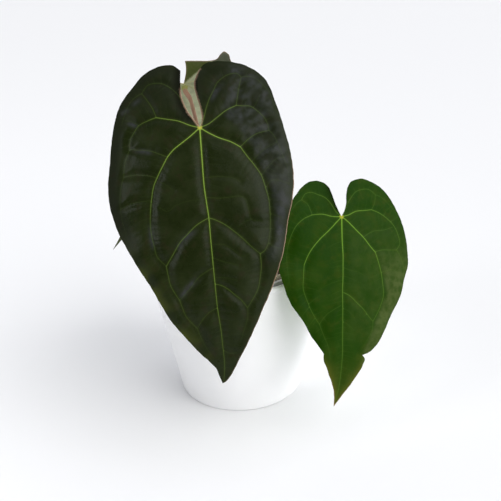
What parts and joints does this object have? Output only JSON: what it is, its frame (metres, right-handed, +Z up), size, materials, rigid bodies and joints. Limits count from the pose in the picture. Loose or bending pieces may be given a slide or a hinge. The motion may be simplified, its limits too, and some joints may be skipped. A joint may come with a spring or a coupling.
{
  "type": "potted foliage plant",
  "caption": "House plant with heart-shaped leaves on arching stalks, rooted in chunky mix in a thin inner pot that stands in a plain white tapered cover pot.",
  "frame": {"origin": "middle of the cover pot's flat base", "axes": "+Z up along the pot's axis, -Y the front that the two large leaves face, +X to the right seen from the front"},
  "size_m": [0.3237, 0.2668, 0.3936],
  "materials": {
    "cover_pot": "satin",
    "nursery_pot": "matte",
    "potting_mix": "matte",
    "stem": "satin",
    "green_stalk": "satin",
    "pink_stalk": "satin",
    "dark_blade": "satin",
    "mid_green_blade": "satin"
  },
  "bodies": {
    "root": {"cover_pot": "cover_pot", "nursery_pot": "nursery_pot", "potting_mix": "potting_mix", "stem": "stem", "petiole_front": "green_stalk", "petiole_right": "green_stalk", "petiole_left": "green_stalk", "petiole_back": "pink_stalk", "blade_front": "dark_blade", "blade_back": "dark_blade", "blade_left": "dark_blade", "blade_right": "mid_green_blade"}
  },
  "joints": []
}
